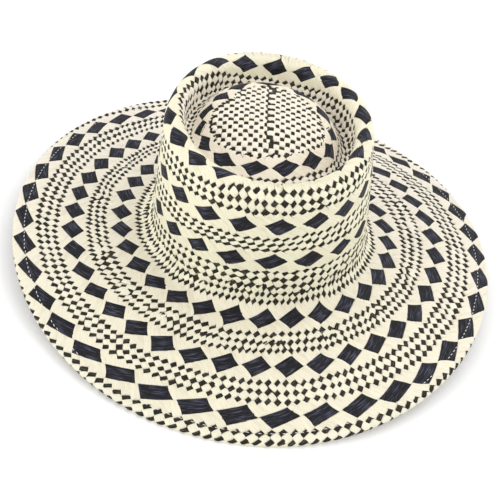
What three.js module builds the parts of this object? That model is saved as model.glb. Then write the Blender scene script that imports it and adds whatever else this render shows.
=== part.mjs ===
import * as THREE from 'three';

// A gambler hat woven of straw: a low round tip, a ring gutter, a rolled rim, an oval side wall and
// a wide brim whose edge is turned under and stitched. The real weave runs on without a seam. Here it
// is parted by a hair at the rim's crest and at the crown's foot, into tip, side and brim.
// Millimetres. +X is the wearer's left-to-right line, +Y runs from front to back, +Z is up.
// The hat stands on its brim, which touches the table at z = 0 at the front and at the back.

// Oval of the crown where it meets the brim, for a head of about 575 mm round
const CROWN_HALF_WIDTH = 84.6;
const CROWN_HALF_LENGTH = 100.8;
// The brim is as wide all round; its middle sags below the crown's foot and it waves up at the sides
const BRIM_EDGE_REACH = 105.5;
const BRIM_SAG = 7.1;
const BRIM_WAVE = 7.5;
const BRIM_SAG_POWER = 1.3;
// Half of the arc, at the front and at the back, over which the edge lies flat on the table
const FLAT_HALF_ANGLE = THREE.MathUtils.degToRad(12);
// Fillet between the side wall and the brim
const FOOT_FILLET = 12.0;
// Rolled rim at the top of the crown: centre line oval, height above the crown's foot and roll radius
const RIM_HALF_WIDTH = 72.3;
const RIM_HALF_LENGTH = 89.3;
const RIM_HEIGHT = 93.5;
const RIM_ROLL = 8.6;
// The crown leans to one side as it rises
const CROWN_LEAN_PER_MM = -0.058;
// Straw wall, and the strip that is turned under along the brim's edge
const STRAW_WALL = 1.5;
const HEM_WIDTH = 11.0;
const HEM_WALL = 1.2;
const SEAT_GAP = 0.3;
// Gap between the parts of the weave
const PART_GAP = 0.3;

const SEGMENTS = 72;
const RIM_HALF_STEPS = 4;
const SIDE_STEPS = 3;
const FILLET_STEPS = 3;
const BRIM_STEPS = 6;

// Rows of the dished top, from the middle of the tip to the inner wall of the rim.
// Each row is an oval: half width and half length, height above the crown's foot, how far its centre
// is moved towards +X and +Y, and how much its back rises and its front dips.
const topRows = [
  { halfWidth: 11.0, halfLength: 10.0, height: 97.1, moveX: -9.0, moveY: 7.0, tilt: 0.4 },
  { halfWidth: 22.0, halfLength: 20.0, height: 96.3, moveX: -9.0, moveY: 7.0, tilt: 1.2 },
  { halfWidth: 33.0, halfLength: 30.0, height: 94.9, moveX: -8.9, moveY: 7.0, tilt: 2.2 },
  { halfWidth: 42.0, halfLength: 38.5, height: 92.8, moveX: -8.5, moveY: 7.0, tilt: 3.3 },
  { halfWidth: 48.0, halfLength: 46.5, height: 89.9, moveX: -7.9, moveY: 6.6, tilt: 4.6 },
  { halfWidth: 52.5, halfLength: 54.0, height: 85.6, moveX: -7.2, moveY: 5.3, tilt: 4.8 },
  { halfWidth: 56.0, halfLength: 61.0, height: 81.9, moveX: -6.7, moveY: 3.8, tilt: 3.2 },
  { halfWidth: 58.8, halfLength: 67.3, height: 79.9, moveX: -6.3, moveY: 2.2, tilt: 1.4 },
  { halfWidth: 61.2, halfLength: 72.6, height: 80.3, moveX: -6.0, moveY: 1.0, tilt: 0.4 },
  { halfWidth: 62.8, halfLength: 77.0, height: 83.2, moveX: -5.6, moveY: 0.4, tilt: 0.0 },
  { halfWidth: 63.5, halfLength: 79.6, height: 87.7, moveX: -5.2, moveY: 0.0, tilt: 0.0 },
];
const TIP_HEIGHT = 97.4;

// A row of the crown that leans with its height
function crownRow(halfWidth, halfLength, height) {
  return { halfWidth, halfLength, height, moveX: CROWN_LEAN_PER_MM * height, moveY: 0, tilt: 0, wave: 0 };
}

// A row of the rolled rim: 180 degrees is its inner wall, 90 its crest and 0 the top of the side
function rimRow(angle) {
  const reach = RIM_ROLL * Math.cos(angle);
  return crownRow(
    RIM_HALF_WIDTH + reach,
    RIM_HALF_LENGTH + reach,
    RIM_HEIGHT + RIM_ROLL * Math.sin(angle),
  );
}

function rimRows(fromAngle, toAngle) {
  return Array.from({ length: RIM_HALF_STEPS + 1 }, (_, step) => (
    rimRow(THREE.MathUtils.lerp(fromAngle, toAngle, step / RIM_HALF_STEPS))
  ));
}

// The side wall runs straight from the rim to the top of the foot's fillet
function sideRows() {
  const rows = [];
  for (let step = 1; step <= SIDE_STEPS; step += 1) {
    const share = step / SIDE_STEPS;
    rows.push(crownRow(
      THREE.MathUtils.lerp(RIM_HALF_WIDTH + RIM_ROLL, CROWN_HALF_WIDTH, share),
      THREE.MathUtils.lerp(RIM_HALF_LENGTH + RIM_ROLL, CROWN_HALF_LENGTH, share),
      THREE.MathUtils.lerp(RIM_HEIGHT, FOOT_FILLET + PART_GAP / 2, share),
    ));
  }
  return rows;
}

// A quarter circle turns the side wall out into the brim
function filletRows() {
  const startAngle = PART_GAP / 2 / FOOT_FILLET;
  return Array.from({ length: FILLET_STEPS + 1 }, (_, step) => {
    const angle = THREE.MathUtils.lerp(startAngle, Math.PI / 2, step / FILLET_STEPS);
    const reach = FOOT_FILLET * (1 - Math.cos(angle));
    return crownRow(
      CROWN_HALF_WIDTH + reach,
      CROWN_HALF_LENGTH + reach,
      FOOT_FILLET * (1 - Math.sin(angle)),
    );
  });
}

// A row of the brim, at a reach out from the crown's oval. The sag and the wave grow towards the
// hem, and over the hem's width the brim is level again.
function brimRow(reach) {
  const hemStart = BRIM_EDGE_REACH - HEM_WIDTH;
  const grown = Math.min((reach - FOOT_FILLET) / (hemStart - FOOT_FILLET), 1) ** BRIM_SAG_POWER;
  return {
    halfWidth: CROWN_HALF_WIDTH + reach,
    halfLength: CROWN_HALF_LENGTH + reach,
    height: -BRIM_SAG * grown,
    moveX: 0,
    moveY: 0,
    tilt: 0,
    wave: BRIM_WAVE * grown,
  };
}

function brimRows() {
  const rows = [];
  for (let step = 1; step <= BRIM_STEPS; step += 1) {
    rows.push(brimRow(THREE.MathUtils.lerp(FOOT_FILLET, BRIM_EDGE_REACH - HEM_WIDTH, step / BRIM_STEPS)));
  }
  rows.push(brimRow(BRIM_EDGE_REACH));
  return rows;
}

// The wave is highest at the two sides and is cut off level where the edge lies on the table
const FLAT_LEVEL = -Math.cos(2 * FLAT_HALF_ANGLE);
function waveAt(angle) {
  return Math.max(Math.cos(2 * angle), FLAT_LEVEL);
}

// Height of the crown's foot above the table, so that the underside of the hem rests at z = 0
const HEM_STACK = STRAW_WALL + SEAT_GAP + HEM_WALL;
const FOOT_HEIGHT = BRIM_SAG - BRIM_WAVE * FLAT_LEVEL + HEM_STACK;

function pointOn(row, angle) {
  return new THREE.Vector3(
    row.moveX + row.halfWidth * Math.cos(angle),
    row.moveY + row.halfLength * Math.sin(angle),
    FOOT_HEIGHT + row.height + row.tilt * Math.sin(angle) + (row.wave ?? 0) * waveAt(angle),
  );
}

function ringOf(row) {
  return Array.from({ length: SEGMENTS }, (_, step) => pointOn(row, (2 * Math.PI * step) / SEGMENTS));
}

// The direction across the rows at a point, in which the nearer neighbour counts for more
function acrossRows(rings, rowIndex, step) {
  const point = rings[rowIndex][step];
  const fromInner = rowIndex > 0 ? point.clone().sub(rings[rowIndex - 1][step]) : null;
  const toOuter = rowIndex + 1 < rings.length ? rings[rowIndex + 1][step].clone().sub(point) : null;
  if (!fromInner || !toOuter) {
    return fromInner ?? toOuter;
  }
  const ratio = fromInner.length() / toOuter.length();
  return toOuter.multiplyScalar(ratio).addScaledVector(fromInner, 1 / ratio);
}

// The outward normal of the outer skin, from the neighbours along the ring and across the rows
function normalAt(rings, rowIndex, step) {
  const ring = rings[rowIndex];
  const along = ring[(step + 1) % SEGMENTS].clone().sub(ring[(step + SEGMENTS - 1) % SEGMENTS]);
  return acrossRows(rings, rowIndex, step).cross(along).normalize();
}

// The inner skin lies one wall inside the crown's outer skin, and straight below the brim's
function innerRings(rings, firstLevelRow) {
  return rings.map((ring, rowIndex) => ring.map((point, step) => {
    const normal = rowIndex < firstLevelRow
      ? normalAt(rings, rowIndex, step)
      : new THREE.Vector3(0, 0, 1);
    return point.clone().addScaledVector(normal, -STRAW_WALL);
  }));
}

// A closed surface through rings of equal count: each ring is joined to the next, and either the
// two ends are closed with a point each, or the last ring joins the first
function surfaceThrough(rings, startPoint, endPoint) {
  const positions = rings.flat().flatMap((point) => point.toArray());
  const triangles = [];
  const vertex = (ringIndex, step) => ringIndex * SEGMENTS + (step % SEGMENTS);
  const joinRings = (lower, upper) => {
    for (let step = 0; step < SEGMENTS; step += 1) {
      triangles.push(vertex(lower, step), vertex(upper, step), vertex(upper, step + 1));
      triangles.push(vertex(lower, step), vertex(upper, step + 1), vertex(lower, step + 1));
    }
  };
  for (let ringIndex = 0; ringIndex + 1 < rings.length; ringIndex += 1) {
    joinRings(ringIndex, ringIndex + 1);
  }
  if (startPoint) {
    const startVertex = positions.length / 3;
    positions.push(...startPoint.toArray(), ...endPoint.toArray());
    for (let step = 0; step < SEGMENTS; step += 1) {
      triangles.push(startVertex, vertex(0, step), vertex(0, step + 1));
      triangles.push(startVertex + 1, vertex(rings.length - 1, step + 1), vertex(rings.length - 1, step));
    }
  } else {
    joinRings(rings.length - 1, 0);
  }
  const geometry = new THREE.BufferGeometry();
  geometry.setAttribute('position', new THREE.Float32BufferAttribute(positions, 3));
  geometry.setIndex(triangles);
  geometry.computeVertexNormals();
  return geometry;
}

const strawMaterial = new THREE.MeshStandardMaterial({ color: '#efe8cf', roughness: 0.75, metalness: 0 });
const hemMaterial = new THREE.MeshStandardMaterial({ color: '#cfc6ac', roughness: 0.8, metalness: 0 });

// All rows from the middle of the tip to the brim's edge, and where tip, side and brim begin
const crestGapAngle = PART_GAP / 2 / RIM_ROLL;
const tipRows = [...topRows, ...rimRows(Math.PI, Math.PI / 2 + crestGapAngle)];
const crownSideRows = [...rimRows(Math.PI / 2 - crestGapAngle, 0), ...sideRows()];
const footRows = filletRows();
const outerSkin = [...tipRows, ...crownSideRows, ...footRows, ...brimRows()].map(ringOf);
const sideStart = tipRows.length;
const brimStart = sideStart + crownSideRows.length;
const innerSkin = innerRings(outerSkin, brimStart + footRows.length);

function strawMesh(name, geometry) {
  const mesh = new THREE.Mesh(geometry, strawMaterial);
  mesh.name = name;
  return mesh;
}

// The round tip, the gutter and the inner half of the rolled rim
function crownTip() {
  const tip = new THREE.Vector3(topRows[0].moveX, topRows[0].moveY, FOOT_HEIGHT + TIP_HEIGHT);
  const underTip = tip.clone().setZ(tip.z - STRAW_WALL);
  const rings = [...outerSkin.slice(0, sideStart), ...innerSkin.slice(0, sideStart).reverse()];
  return strawMesh('crown_tip', surfaceThrough(rings, tip, underTip));
}

// A ring of the weave between two rows: the crown's side or the brim
function wovenRing(name, start, end) {
  const rings = [...outerSkin.slice(start, end), ...innerSkin.slice(start, end).reverse()];
  return strawMesh(name, surfaceThrough(rings));
}

// The brim's edge turned under: a flat strip that lies a seat gap below the brim
function edgeHem() {
  const start = brimRow(BRIM_EDGE_REACH - HEM_WIDTH);
  const end = brimRow(BRIM_EDGE_REACH);
  const lowered = (row, drop) => ringOf({ ...row, height: row.height - drop });
  const topDrop = STRAW_WALL + SEAT_GAP;
  const rings = [
    lowered(start, topDrop),
    lowered(end, topDrop),
    lowered(end, HEM_STACK),
    lowered(start, HEM_STACK),
  ];
  const mesh = new THREE.Mesh(surfaceThrough(rings), hemMaterial);
  mesh.name = 'edge_hem';
  return mesh;
}

const hat = new THREE.Group();
hat.add(
  crownTip(),
  wovenRing('crown_side', sideStart, brimStart),
  wovenRing('brim', brimStart, outerSkin.length),
  edgeHem(),
);

export default hat;
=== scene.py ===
# %% [markdown]
# # A gambler hat woven from straw
# The hat is one sheet of plaited straw. One family of straws is dyed black and the other is left
# cream, and they cross at a slant. Where they change places at every crossing, the sheet shows fine
# checks. Where four straws of one family pass over four of the other, it shows a big diamond.
# This lesson weaves it in the same way: every float of straw is a small arched sheet of its own.

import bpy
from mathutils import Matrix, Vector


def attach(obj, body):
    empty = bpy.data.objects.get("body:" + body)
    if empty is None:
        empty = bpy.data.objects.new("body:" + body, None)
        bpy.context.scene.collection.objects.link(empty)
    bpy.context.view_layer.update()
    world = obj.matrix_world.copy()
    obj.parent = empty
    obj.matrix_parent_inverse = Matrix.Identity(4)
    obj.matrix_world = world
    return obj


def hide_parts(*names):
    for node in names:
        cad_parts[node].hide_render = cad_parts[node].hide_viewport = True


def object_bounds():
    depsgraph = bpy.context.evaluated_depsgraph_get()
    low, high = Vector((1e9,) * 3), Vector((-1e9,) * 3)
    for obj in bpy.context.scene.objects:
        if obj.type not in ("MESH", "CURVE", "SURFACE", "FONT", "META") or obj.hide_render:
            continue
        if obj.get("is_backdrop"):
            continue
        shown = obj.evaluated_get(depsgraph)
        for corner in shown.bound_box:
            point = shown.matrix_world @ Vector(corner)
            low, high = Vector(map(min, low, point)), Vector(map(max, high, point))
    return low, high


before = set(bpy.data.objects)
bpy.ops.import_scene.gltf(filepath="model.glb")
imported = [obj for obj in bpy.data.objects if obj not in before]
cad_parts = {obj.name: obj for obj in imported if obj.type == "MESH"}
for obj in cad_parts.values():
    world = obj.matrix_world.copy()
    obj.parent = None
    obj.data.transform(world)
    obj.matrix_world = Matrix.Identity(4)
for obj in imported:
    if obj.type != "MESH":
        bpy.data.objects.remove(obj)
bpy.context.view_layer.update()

# %% Tools
import math

import bpy
import numpy as np
from mathutils import Matrix, Vector

MM = 0.001
# One fixed seed, so that every run lays the same straws
SEED = 7
chance = np.random.default_rng(SEED)
print("Blender", bpy.app.version_string)

# %% [markdown]
# ## The hat's form
# A hat like this is woven over a block, and then steamed. Its form is a stack of ovals: a low
# round tip, a gutter, a rolled rim, the crown's wall, a small curve at the foot, and the brim.
# A table of ovals is the plainest way to say that form, and it lets any point of the sheet be
# named by two numbers: how far round the hat it is, and how far along the sheet from the tip.

# %% Sizes in millimetres
# Left and right are as the hat is seen from the front, so left is towards -X. The crown leans by
# a share of its height, the brim sags and waves more and more towards its edge, and the level
# arcs that the hat stands on reach so many degrees to each side of front and back
CROWN_HALF_WIDTH = 84.6
CROWN_HALF_LENGTH = 100.8
CROWN_LEAN = -0.058
FOOT_HEIGHT = 16.95
FOOT_FILLET = 12
RIM_HALF_WIDTH = 72.3
RIM_HALF_LENGTH = 89.3
RIM_HEIGHT = 93.5
RIM_ROLL = 8.6
BRIM_REACH = 105.5
BRIM_SAG = 7.1
BRIM_WAVE = 7.5
BRIM_SAG_POWER = 1.3
LEVEL_ARC = 12
HEM_WIDTH = 11
HEM_STACK = 3.0

# How far the rim is drawn in at the left and at the right, where round the oval, and how narrowly
LEFT_IN, LEFT_AT, LEFT_NARROW = 4.0, math.radians(174), 7
RIGHT_IN, RIGHT_AT, RIGHT_NARROW = 3.4, math.radians(-5), 8
# How far the crown's foot stands out at the right, and how far out on the brim that fades away
FOOT_BULGE, BULGE_REACH = 2.6, 30

# Half width, half length, height above the crown's foot, shift in x and y, how much higher the
# back is, how much higher the left side is, and wave
DOME_ROWS = [
    (0, 0, 97.4, -7.5, 7.0, 0, 0, 0),
    (11, 10, 97.1, -7.4, 7.0, 0.4, 0.1, 0),
    (22, 20, 96.3, -7.2, 7.0, 1.2, 0.2, 0),
    (31.5, 30, 94.9, -6.9, 7.0, 2.6, 0.3, 0),
    (39.5, 38.5, 93.0, -6.6, 7.0, 3.9, 0.5, 0),
    (45.5, 46.5, 90.4, -6.3, 6.8, 5.0, 0.9, 0),
    (50.5, 54, 86.5, -6.0, 5.8, 5.2, 1.5, 0),
    (54.8, 61, 82.6, -5.8, 4.2, 3.8, 2.2, 0),
    (58.4, 67.3, 80.0, -5.6, 2.2, 1.6, 2.4, 0),
    (61.2, 72.6, 80.3, -5.5, 1.0, 0.4, 1.6, 0),
    (62.8, 77, 83.2, -5.3, 0.4, 0, 0.6, 0),
    (63.5, 79.6, 87.7, -5.2, 0, 0, 0, 0),
]


def crown_row(half_width, half_length, height):
    return (half_width, half_length, height, CROWN_LEAN * height, 0, 0, 0, 0)


def rim_row(turn):
    reach = RIM_ROLL * math.cos(turn)
    return crown_row(
        RIM_HALF_WIDTH + reach, RIM_HALF_LENGTH + reach, RIM_HEIGHT + RIM_ROLL * math.sin(turn)
    )


def brim_row(reach, below=0.0):
    grown = min((reach - FOOT_FILLET) / (BRIM_REACH - HEM_WIDTH - FOOT_FILLET), 1) ** BRIM_SAG_POWER
    height = -BRIM_SAG * grown - below
    return (CROWN_HALF_WIDTH + reach, CROWN_HALF_LENGTH + reach, height, 0, 0, 0, 0, BRIM_WAVE * grown)


print(f"Crown at its foot in mm: {2 * CROWN_HALF_WIDTH:.1f} by {2 * CROWN_HALF_LENGTH:.1f}")

# %% [markdown]
# The dome's ovals are few, so a smooth curve is drawn through them. The other stretches are arcs
# and straight lines, and are drawn as finely as they need. Past the brim's edge the sheet folds
# under, and runs back as the hem.

# %% The table of ovals
def eased(share, gap, first, first_slope, last, last_slope):
    """A smooth curve between two known points, from their values and their slopes."""
    rest = 1 - share
    return (
        (1 + 2 * share) * rest**2 * first
        + share * rest**2 * gap * first_slope
        + share**2 * (3 - 2 * share) * last
        - share**2 * rest * gap * last_slope
    )


def smooth_through(rows, count):
    rows = np.array(rows, float)
    steps = np.linalg.norm(np.diff(rows[:, :3], axis=0), axis=1)
    distance = np.r_[0, np.cumsum(steps)]
    slope = np.gradient(rows, distance, axis=0)
    fine = np.linspace(0, distance[-1], count)
    left = np.clip(np.searchsorted(distance, fine, side="right") - 1, 0, len(rows) - 2)
    gap = steps[left][:, None]
    share = ((fine - distance[left]) / steps[left])[:, None]
    return eased(share, gap, rows[left], slope[left], rows[left + 1], slope[left + 1])


def straight_between(first, last, count):
    share = np.linspace(0, 1, count)[:, None]
    return np.array(first) * (1 - share) + np.array(last) * share


LEAD_TURN = 0.9 * math.pi
DOME_STEPS, LEAD_STEPS = 160, 10
RIM_STEPS, WALL_STEPS, FOOT_STEPS, BRIM_STEPS, FOLD_STEPS, HEM_STEPS = 40, 60, 16, 90, 14, 12

# The dome's curve is led a little way into the rim's arc, and that lead is cut off again
dome = smooth_through([*DOME_ROWS, rim_row(math.pi), rim_row(LEAD_TURN)], DOME_STEPS)[:-LEAD_STEPS]
rim = [rim_row(turn) for turn in np.linspace(math.pi, 0, RIM_STEPS)]
wall_end = crown_row(CROWN_HALF_WIDTH, CROWN_HALF_LENGTH, FOOT_FILLET)
wall = straight_between(rim[-1], wall_end, WALL_STEPS)
foot = [
    crown_row(
        CROWN_HALF_WIDTH + FOOT_FILLET * (1 - math.cos(turn)),
        CROWN_HALF_LENGTH + FOOT_FILLET * (1 - math.cos(turn)),
        FOOT_FILLET * (1 - math.sin(turn)),
    )
    for turn in np.linspace(0, math.pi / 2, FOOT_STEPS)
]
fold_radius = HEM_STACK / 2
fold_reach = BRIM_REACH - fold_radius
brim = [brim_row(reach) for reach in np.linspace(FOOT_FILLET, fold_reach, BRIM_STEPS)]
fold = [
    brim_row(fold_reach + fold_radius * math.sin(turn), fold_radius * (1 - math.cos(turn)))
    for turn in np.linspace(0, math.pi, FOLD_STEPS)
]
hem_reaches = np.linspace(fold_reach, BRIM_REACH - HEM_WIDTH, HEM_STEPS)
hem = [brim_row(reach, HEM_STACK) for reach in hem_reaches]
print("Ovals from tip to hem:", sum(len(part) for part in (dome, rim, wall, foot, brim, fold, hem)))

# %% [markdown]
# The table alone would give a hat fresh from its block, and a soft straw hat is never so even.
# Its rim is drawn in a little at both sides, its foot stands out on the right, and its brim dips
# in front and behind, where it lies level on the table. These are smooth functions of the angle
# that are laid over the ovals, so that the table stays short.

# %% Points of the sheet
LEVEL = -math.cos(math.radians(2 * LEVEL_ARC))
SAME_PLACE = 1e-6
SMALL_TURN, SMALL_STEP = 0.4, 0.7


def on_ovals(turn, row):
    half_width, half_length, height, move_x, move_y, back, left, wave = row
    over_rim = np.clip((half_width - RIM_HALF_WIDTH) / (2 * RIM_ROLL) + 0.5, 0, 1)
    high = np.clip(height / RIM_HEIGHT, 0, 1)
    past_foot = half_width - CROWN_HALF_WIDTH - FOOT_FILLET
    near_foot = np.clip(1 - past_foot / BULGE_REACH, 0, 1) * (1 - high)
    on_left = np.maximum(np.cos(turn - LEFT_AT), 0) ** LEFT_NARROW
    on_right = np.maximum(np.cos(turn - RIGHT_AT), 0) ** RIGHT_NARROW
    drawn = LEFT_IN * high**2 * on_left + (FOOT_BULGE * near_foot - RIGHT_IN * high**2) * on_right
    x = move_x + half_width * np.cos(turn) + drawn * over_rim
    y = move_y + half_length * np.sin(turn)
    z = FOOT_HEIGHT + height + back * np.sin(turn) - left * np.cos(turn)
    z = z + wave * np.maximum(np.cos(2 * turn), LEVEL)
    return np.stack([x, y, z], -1)


def joined(*stretches):
    """One table of ovals, without the doubled ones where two stretches meet."""
    table = np.concatenate([np.array(stretch, float) for stretch in stretches])
    moved = np.abs(np.diff(table, axis=0)).sum(1) > SAME_PLACE
    return table[np.r_[True, moved]]


OVALS = joined(dome, rim, wall, foot, brim, fold, hem)
corner = on_ovals(-math.pi / 4, OVALS.T)
ALONG = np.r_[0, np.cumsum(np.linalg.norm(np.diff(corner, axis=0), axis=1))]
CREST = float(ALONG[np.argmax(OVALS[:, 2])])
FOOT = float(ALONG[len(joined(dome, rim, wall)) - 1])
EDGE = float(ALONG[np.argmax(OVALS[:, 0])])
HEM_END = float(ALONG[-1])
print(f"Along the sheet in mm: crest {CREST:.1f}, foot {FOOT:.1f}, edge {EDGE:.1f}, end {HEM_END:.1f}")


def sheet_point(angle, along):
    """A point of the outer skin in mm. angle is in degrees from the front, towards +X."""
    row = [np.interp(along, ALONG, OVALS[:, field]) for field in range(8)]
    return on_ovals(np.radians(angle - 90), row)


def sheet_normal(angle, along):
    turned = sheet_point(angle + SMALL_TURN, along) - sheet_point(angle - SMALL_TURN, along)
    passed = sheet_point(angle, along + SMALL_STEP) - sheet_point(angle, along - SMALL_STEP)
    normal = np.cross(passed, turned)
    return normal / np.maximum(np.linalg.norm(normal, axis=-1, keepdims=True), 1e-9)


# %% [markdown]
# ## The pattern's chart
# Seven rings of black diamonds run round the hat, with bands of fine checks between them. A
# weaver counts courses, which are the slanting crossings in level order: black shows on every
# second course. A diamond takes eight courses, pressed close together, and the checks lie looser.
# On the brim and the wall the rings are even enough to be said with a few numbers: they dip
# towards the front, their diamonds are gathered a little to one side, and they lean, because the
# straws wind round the hat. On the tip and the rim the hands that wove them wandered more, so
# there each diamond has its own place.

# %% Rings of diamonds
# Length of a ring's diamonds, from their middle to the next course of checks, and how far their
# sides are pressed in, in straws
SIZES = {
    "shoulder": (13.3, 9.6, 0.20),
    "rim": (13.3, 11.0, 0.26),
    "upper_wall": (13.8, 10.8, 0.36),
    "lower_wall": (14.0, 10.0, 0.36),
    "brim_root": (16.8, 13.2, 0.13),
    "brim_middle": (16.4, 12.2, 0.11),
    "brim_edge": (15.4, 11.4, 0.07),
}
# Lean in degrees, then the angle of each diamond from the front and its place along the sheet
PLACED = {
    "shoulder": (-6, [
        (-5, 55), (22, 52), (49, 52), (74, 55), (95, 52), (119, 48), (156, 49), (188, 51),
        (223, 48), (250, 46), (272, 55), (289, 61), (305, 63), (329, 60),
    ]),
    "rim": (-12, [
        (-2, 98), (16, 96), (34, 97), (52, 99.5), (71, 104.5), (87, 107.5), (107, 108), (127, 106),
        (145, 103), (164, 98), (186, 97), (208, 99.5), (229, 108), (249, 115), (269, 117.5),
        (288, 114.8), (307, 110.5), (325, 111), (342, 108),
    ]),
}
# Diamonds round the hat, and then five terms each for their place along the sheet, for how many
# degrees they are gathered round the hat, and for how many degrees they lean
REGULAR = {
    "upper_wall": (20, (141.8, -3.4, 4.6, -1.7, -2.1), (3.8, 0, 0, 0, 0), (-11, 6, 1, 6, 3)),
    "lower_wall": (20, (171.7, -2.4, 3.2, -1.5, -5.7), (6.8, -0.7, 1.0, -0.9, 1.8), (-16, 6, 0, 5, 1)),
    "brim_root": (33, (221.7, -1.2, 2.3, -1.8, -7.2), (2, -3, 2.5, -3, 1), (-21, -9, 0, -2, 1)),
    "brim_middle": (41, (260.9, 1.5, 3.0, -3.8, -7.0), (1, 0, 3, -2, 0.5), (-20, -4, 1, -1, 3)),
    "brim_edge": (41, (296.7, 0.9, 2.5, -1.9, -7.4), (-4, -0.5, 1, -1.5, 0.5), (-38, 8, -3, -5, 0)),
}
# Pairs of courses in each band of checks between two rings
BAND_COURSES = [6, 3, 3, 5, 3, 3]
# Straws that pass over and under in a diamond, and the first course of checks past its middle
STRAWS_OVER = 4
FIRST_CHECK = STRAWS_OVER + 1
# Millimetres from one course of checks to the next, in the bands and along the brim's edge
CHECK_STEP = 3.3
EDGE_STEP = 3.95

names = list(SIZES)
middle_course = {names[0]: 0}
for before, after, courses in zip(names, names[1:], BAND_COURSES, strict=False):
    middle_course[after] = middle_course[before] + 2 * STRAWS_OVER + 2 * courses
print("Middle course of each ring:", middle_course)

# %% [markdown]
# Round the hat, a ring's diamonds are counted by a smooth function of the angle. Its whole
# numbers are the middles of the diamonds. A second smooth function gives the ring's place along
# the sheet at each angle.

# %% Counting round the hat
FINE_STEPS_TO_DEGREE = 4
fine_angles = np.linspace(-540, 540, 1080 * FINE_STEPS_TO_DEGREE + 1)


def smooth_round(marks, values, step):
    """A smooth curve through marks once round the hat; its values grow by step at each turn."""
    turns = range(-2, 3)
    marks = np.concatenate([np.array(marks, float) + 360 * turn for turn in turns])
    values = np.concatenate([np.array(values, float) + step * turn for turn in turns])
    slope = np.gradient(values, marks)
    left = np.clip(np.searchsorted(marks, fine_angles, side="right") - 1, 0, len(marks) - 2)
    gap = marks[left + 1] - marks[left]
    share = (fine_angles - marks[left]) / gap
    return eased(share, gap, values[left], slope[left], values[left + 1], slope[left + 1])


def around(level, right, back, halves, quarters):
    """A curve round the hat. level is its value in front, and the others bend it."""
    turn = np.radians(fine_angles)
    first = level + right * np.sin(turn) + back * (np.cos(turn) - 1)
    return first + halves * np.sin(2 * turn) + quarters * (np.cos(2 * turn) - 1)


ring_count, ring_passed, ring_place, ring_lean = {}, {}, {}, {}
for name, (lean, diamonds) in PLACED.items():
    marks, places = zip(*diamonds, strict=True)
    ring_count[name] = len(diamonds)
    ring_passed[name] = smooth_round(marks, range(len(diamonds)), len(diamonds))
    ring_place[name] = smooth_round(marks, places, 0)
    ring_lean[name] = np.full_like(fine_angles, lean)
for name, (count, place, gathered, lean) in REGULAR.items():
    ring_count[name] = count
    ring_passed[name] = count * (fine_angles + around(*gathered)) / 360
    ring_place[name] = around(*place)
    ring_lean[name] = around(*lean)


def angles_at(passed, count, phase=0.0):
    """The angles where the count is a whole number plus the phase, once round the hat."""
    first = math.ceil(np.interp(-180, fine_angles, passed) - phase)
    return np.interp(np.arange(first, first + count) + phase, passed, fine_angles)


def spacing(angles):
    ring = np.r_[angles[-1] - 360, angles, angles[0] + 360]
    return (ring[2:] - ring[:-2]) / 2


print("Diamonds in each ring:", ring_count)

# %% [markdown]
# A course between two rings takes its place from both of them. The lean of a ring's diamonds
# slides each course round the hat a little more than the last. The courses lie wider along the
# brim's edge, closer behind the tip, and nearer to the crest at the rim's left. Hands are never
# quite even, so a slow wander of about half a millimetre is added everywhere.

# %% Where a course lies
# The lean of the bands in degrees
BAND_LEAN = -12
# How much closer the tip's last courses lie at the back, as a share
TIGHTER_BEHIND = 0.16
# Courses past a band's edge that still keep its spacing, on the way to a diamond's end
NEAR_MARK = 1.05
# Millimetres that the band below the rim's diamonds keeps from the crest, and by how much it lies
# higher at the left, then how many degrees from the front that is, and how narrowly
PAST_CREST = 5.2
SHORTER_LEFT, SHORTER_AT, SHORTER_NARROW = 1.6, -102, 4
# Courses past the first and the last ring that still have a place
SPARE_COURSES = 12
# Millimetres along the sheet: where it starts by the tip's middle, and a short way to measure over
SHEET_START = 1.0
NEARBY = 5


def value_at(table, row, angle):
    slot = np.clip((angle - fine_angles[0]) / (fine_angles[1] - fine_angles[0]), 0, len(fine_angles) - 2)
    whole = slot.astype(int)
    share = slot - whole
    return table[row, whole] * (1 - share) + table[row, whole + 1] * share


def stop_beside(name, offset):
    """Round the hat: places that lie offset mm from a ring's middle, and how far they are slid."""
    place = ring_place[name]
    passed = sheet_point(fine_angles, place + NEARBY) - sheet_point(fine_angles, place - NEARBY)
    turned = sheet_point(fine_angles + 0.5, place) - sheet_point(fine_angles - 0.5, place)
    in_diamond = np.clip(offset, -SIZES[name][0] / 2, SIZES[name][0] / 2)
    moved = np.tan(np.radians(ring_lean[name])) * in_diamond
    moved = moved + math.tan(math.radians(BAND_LEAN)) * (offset - in_diamond)
    further = offset * 2 * NEARBY / np.linalg.norm(passed, axis=-1)
    return place + further, moved / np.linalg.norm(turned, axis=-1)


stops = []
for name, (length, span, pressed) in SIZES.items():
    point = STRAWS_OVER - 2 * pressed
    for side in (-1, 1):
        if name == names[0] and side == -1:
            span = span * (1 - TIGHTER_BEHIND * (1 - np.cos(np.radians(fine_angles))) / 2)
        share = (FIRST_CHECK - NEAR_MARK - point) / (FIRST_CHECK - point)
        nearer = np.maximum(span - NEAR_MARK * CHECK_STEP, length / 2 * (1 - share) + span * share)
        place, moved = stop_beside(name, side * span)
        near_place, near_moved = stop_beside(name, side * nearer)
        if name == "rim" and side == 1:
            far_left = np.maximum(np.cos(np.radians(fine_angles - SHORTER_AT)), 0) ** SHORTER_NARROW
            place = np.maximum(place - SHORTER_LEFT * far_left, CREST + PAST_CREST)
            near_place = place - NEAR_MARK * CHECK_STEP
        stops.append((middle_course[name] + side * point, *stop_beside(name, side * length / 2)))
        stops.append((middle_course[name] + side * (FIRST_CHECK - NEAR_MARK), near_place, near_moved))
        stops.append((middle_course[name] + side * FIRST_CHECK, place, moved))
for side, name, step in ((-1, names[0], CHECK_STEP), (1, names[-1], EDGE_STEP)):
    course = middle_course[name] + side * (FIRST_CHECK + SPARE_COURSES)
    stops.append((course, *stop_beside(name, side * (SIZES[name][1] + SPARE_COURSES * step))))
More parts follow.
